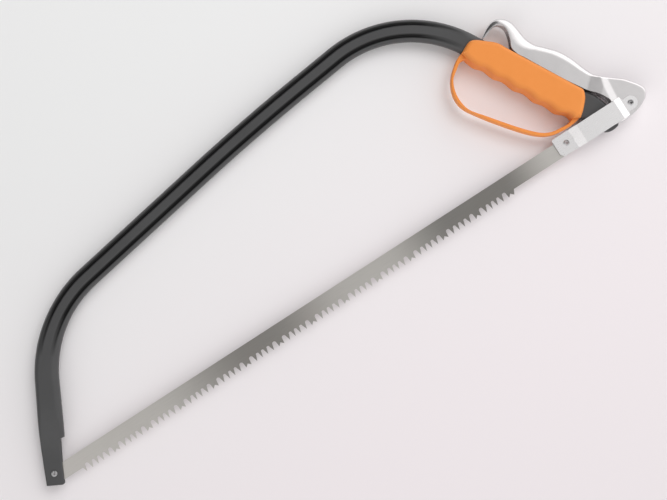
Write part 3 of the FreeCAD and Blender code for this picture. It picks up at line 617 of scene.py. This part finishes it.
def lever_section(row, inset):
    """Across the lever: front wall, rounded corner, back web, corner, rear wall."""
    outer = np.array(row[:2])
    inner = np.array(row[2:4])
    reach = np.linalg.norm(outer - inner)
    ahead = (outer - inner) / reach
    outer = outer - ahead * inset * min(1.0, reach / FULL_INSET_REACH)
    reach = max(LEAST_REACH, np.linalg.norm(outer - inner))
    half = row[5] - inset
    soft = max(LEAST_CORNER, min(row[4] - inset, reach * CORNER_REACH))
    deep = max(LEAST_CORNER, min(soft, half * CORNER_DEPTH))
    points = []
    for k in range(WALL_STEPS + 1):
        points.append((inner + ahead * (reach - soft) * k / WALL_STEPS, half))
    for k in range(1, CORNER_STEPS + 1):
        turn = math.pi / 2 * k / CORNER_STEPS
        points.append((outer - ahead * soft * (1 - math.sin(turn)), half - deep * (1 - math.cos(turn))))
    front = [(x + PIVOT_SAW[0], y + PIVOT_SAW[1], z + ear_raise(x, y) * min(1.0, z / half))
             for (x, y), z in points]
    rear = [(x, y, -z) for x, y, z in front[::-1]]
    return front + rear


def make_lever():
    """The pressed channel: an outer and an inner skin, joined round their rims and bored."""
    rows = through(LEVER_ROWS, LEVER_RINGS)
    grids = [np.array([lever_section(row, inset) for row in rows]) for inset in (0.0, LEVER_SHEET)]
    count, width = grids[0].shape[:2]
    points = [tuple(p) for grid in grids for p in grid.reshape(-1, 3)]
    skip = count * width

    def at(layer, row, column):
        return layer * skip + row * width + column

    faces = []
    for r in range(count - 1):
        for c in range(width - 1):
            quad = (at(0, r, c), at(0, r, c + 1), at(0, r + 1, c + 1), at(0, r + 1, c))
            faces.append(quad)
            faces.append(tuple(i + skip for i in quad[::-1]))
        for c in (0, width - 1):
            rim = (at(0, r, c), at(0, r + 1, c), at(1, r + 1, c), at(1, r, c))
            faces.append(rim if c == 0 else rim[::-1])
    for c in range(width - 1):
        for r in (0, count - 1):
            rim = (at(0, r, c), at(1, r, c), at(1, r, c + 1), at(0, r, c + 1))
            faces.append(rim if r == 0 else rim[::-1])
    lever = new_piece("tension_lever_shell", points, faces, "lever_chrome", "lever", ["tension_lever"],
                      SHARP_LEVER)
    bore(lever, [(PIVOT, LEVER_BORE), (LINK_PIN, LEVER_BORE)], [], SHARP_LEVER)


BORE_SIDES = 48
BORE_LOW = -0.02                  # metres: below and above everything
BORE_HIGH = 0.06


def bore(piece, holes, slots, sharp):
    """Round holes through a piece, along z, and slots given as an outline and a half width."""
    cuts = []
    for place, radius in holes:
        turns = [2 * math.pi * k / BORE_SIDES for k in range(BORE_SIDES)]
        ring = [(place.x + radius * MM * math.cos(t), place.y + radius * MM * math.sin(t)) for t in turns]
        cuts.append((ring, BORE_LOW, BORE_HIGH))
    for outline, half in slots:
        cuts.append(([(p.x, p.y) for p in outline], TOE.z - half * MM, TOE.z + half * MM))
    cutters = []
    for ring, low, high in cuts:
        n = len(ring)
        points = [(x, y, z) for z in (low, high) for x, y in ring]
        faces = [tuple(range(n - 1, -1, -1)), tuple(range(n, 2 * n))]
        faces += [(k, (k + 1) % n, n + (k + 1) % n, n + k) for k in range(n)]
        mesh = bpy.data.meshes.new("cutter")
        mesh.from_pydata(points, [], faces)
        cutter = bpy.data.objects.new("cutter", mesh)
        bpy.context.scene.collection.objects.link(cutter)
        modifier = piece.modifiers.new("bore", "BOOLEAN")
        modifier.operation = "DIFFERENCE"
        modifier.solver = "EXACT"
        modifier.object = cutter
        cutters.append(cutter)
    graph = bpy.context.evaluated_depsgraph_get()
    graph.update()
    mesh = bpy.data.meshes.new_from_object(piece.evaluated_get(graph))
    piece.modifiers.clear()
    piece.data = mesh
    finish_piece(piece, sharp)
    for cutter in cutters:
        bpy.data.objects.remove(cutter)


# ---- the coiled pins -----------------------------------------------------------------------------
COIL_STEPS = 96
COIL_TURNS = 2.15
COIL_OUTER_TURNS = 0.9            # of them at the full radius
COIL_START = 0.95                 # radius of the strip's middle at the spiral's inner end
COIL_END = 2.62                   # and on its outer turn
STRIP_INSIDE = 0.32
STRIP_OUTSIDE = 0.36
STRIP_LEAST = 0.2                 # thickness left by the chamfer
PIN_RADIUS = 2.98
PIN_CHAMFER = 0.35
PIN_CHAMFER_LONG = 0.5


def make_coil(node, body, joint_point):
    """A spring pin: a spiral of strip, chamfered at both ends, the length of its CAD node."""
    low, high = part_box(node)
    half = (high.z - low.z) / 2 / MM
    centre = ((joint_point.x - TOE.x) / MM, (joint_point.y - TOE.y) / MM)
    levels = [(-half, PIN_CHAMFER), (-half + PIN_CHAMFER_LONG, 0.0),
              (half - PIN_CHAMFER_LONG, 0.0), (half, PIN_CHAMFER)]
    points = []
    for z, chamfer in levels:
        for k in range(COIL_STEPS + 1):
            turn = 2 * math.pi * COIL_TURNS * k / COIL_STEPS
            wound = min(1.0, turn / (2 * math.pi * (COIL_TURNS - COIL_OUTER_TURNS)))
            middle = blend(COIL_START, COIL_END, wound)
            outer = min(middle + STRIP_OUTSIDE, PIN_RADIUS - chamfer)
            for radius in (min(middle - STRIP_INSIDE, outer - STRIP_LEAST), outer):
                points.append((centre[0] + radius * math.cos(turn), centre[1] + radius * math.sin(turn), z))
    width = 2 * (COIL_STEPS + 1)
    faces = []
    for r in range(len(levels) - 1):
        for k in range(COIL_STEPS):
            a = r * width + 2 * k
            faces.append((a, a + width, a + width + 2, a + 2))
            faces.append((a + 1, a + 3, a + width + 3, a + width + 1))
        start = r * width
        end = r * width + 2 * COIL_STEPS
        faces.append((start, start + 1, start + width + 1, start + width))
        faces.append((end, end + width, end + width + 1, end + 1))
    top = (len(levels) - 1) * width
    for k in range(COIL_STEPS):
        faces.append((2 * k, 2 * k + 2, 2 * k + 3, 2 * k + 1))
        faces.append((top + 2 * k, top + 2 * k + 1, top + 2 * k + 3, top + 2 * k + 2))
    new_piece(node + "_coil", points, faces, "pin_steel", body, [node], SHARP_COIL)


def dress_cad():
    """The record's finish on every CAD node, with smooth shading up to a sharp edge."""
    for part in frame["record"]["subparts"]:
        node = frame["nodes"][part["node"]]
        node.data.materials.clear()
        node.data.materials.append(MATERIALS[part["material_slot"]])
        finish_piece(node, SHARP_CAD)


MATERIALS = {"frame_paint": paint(), "grip_plastic": plastic(), "blade_steel": blade_steel(),
             "link_steel": link_steel(), "lever_chrome": chrome(), "pin_steel": pin_steel()}
add_camera()
add_floor()
add_studio()
add_key()
dress_cad()
make_bow()
make_lever()
make_coil("toe_pin", "frame", TOE)
make_coil("blade_pin", "link", LINK_PIN + BLADE_PIN_FROM_LINK_PIN)
make_coil("link_pin", "link", LINK_PIN)
bpy.context.scene.view_settings.view_transform = "Standard"
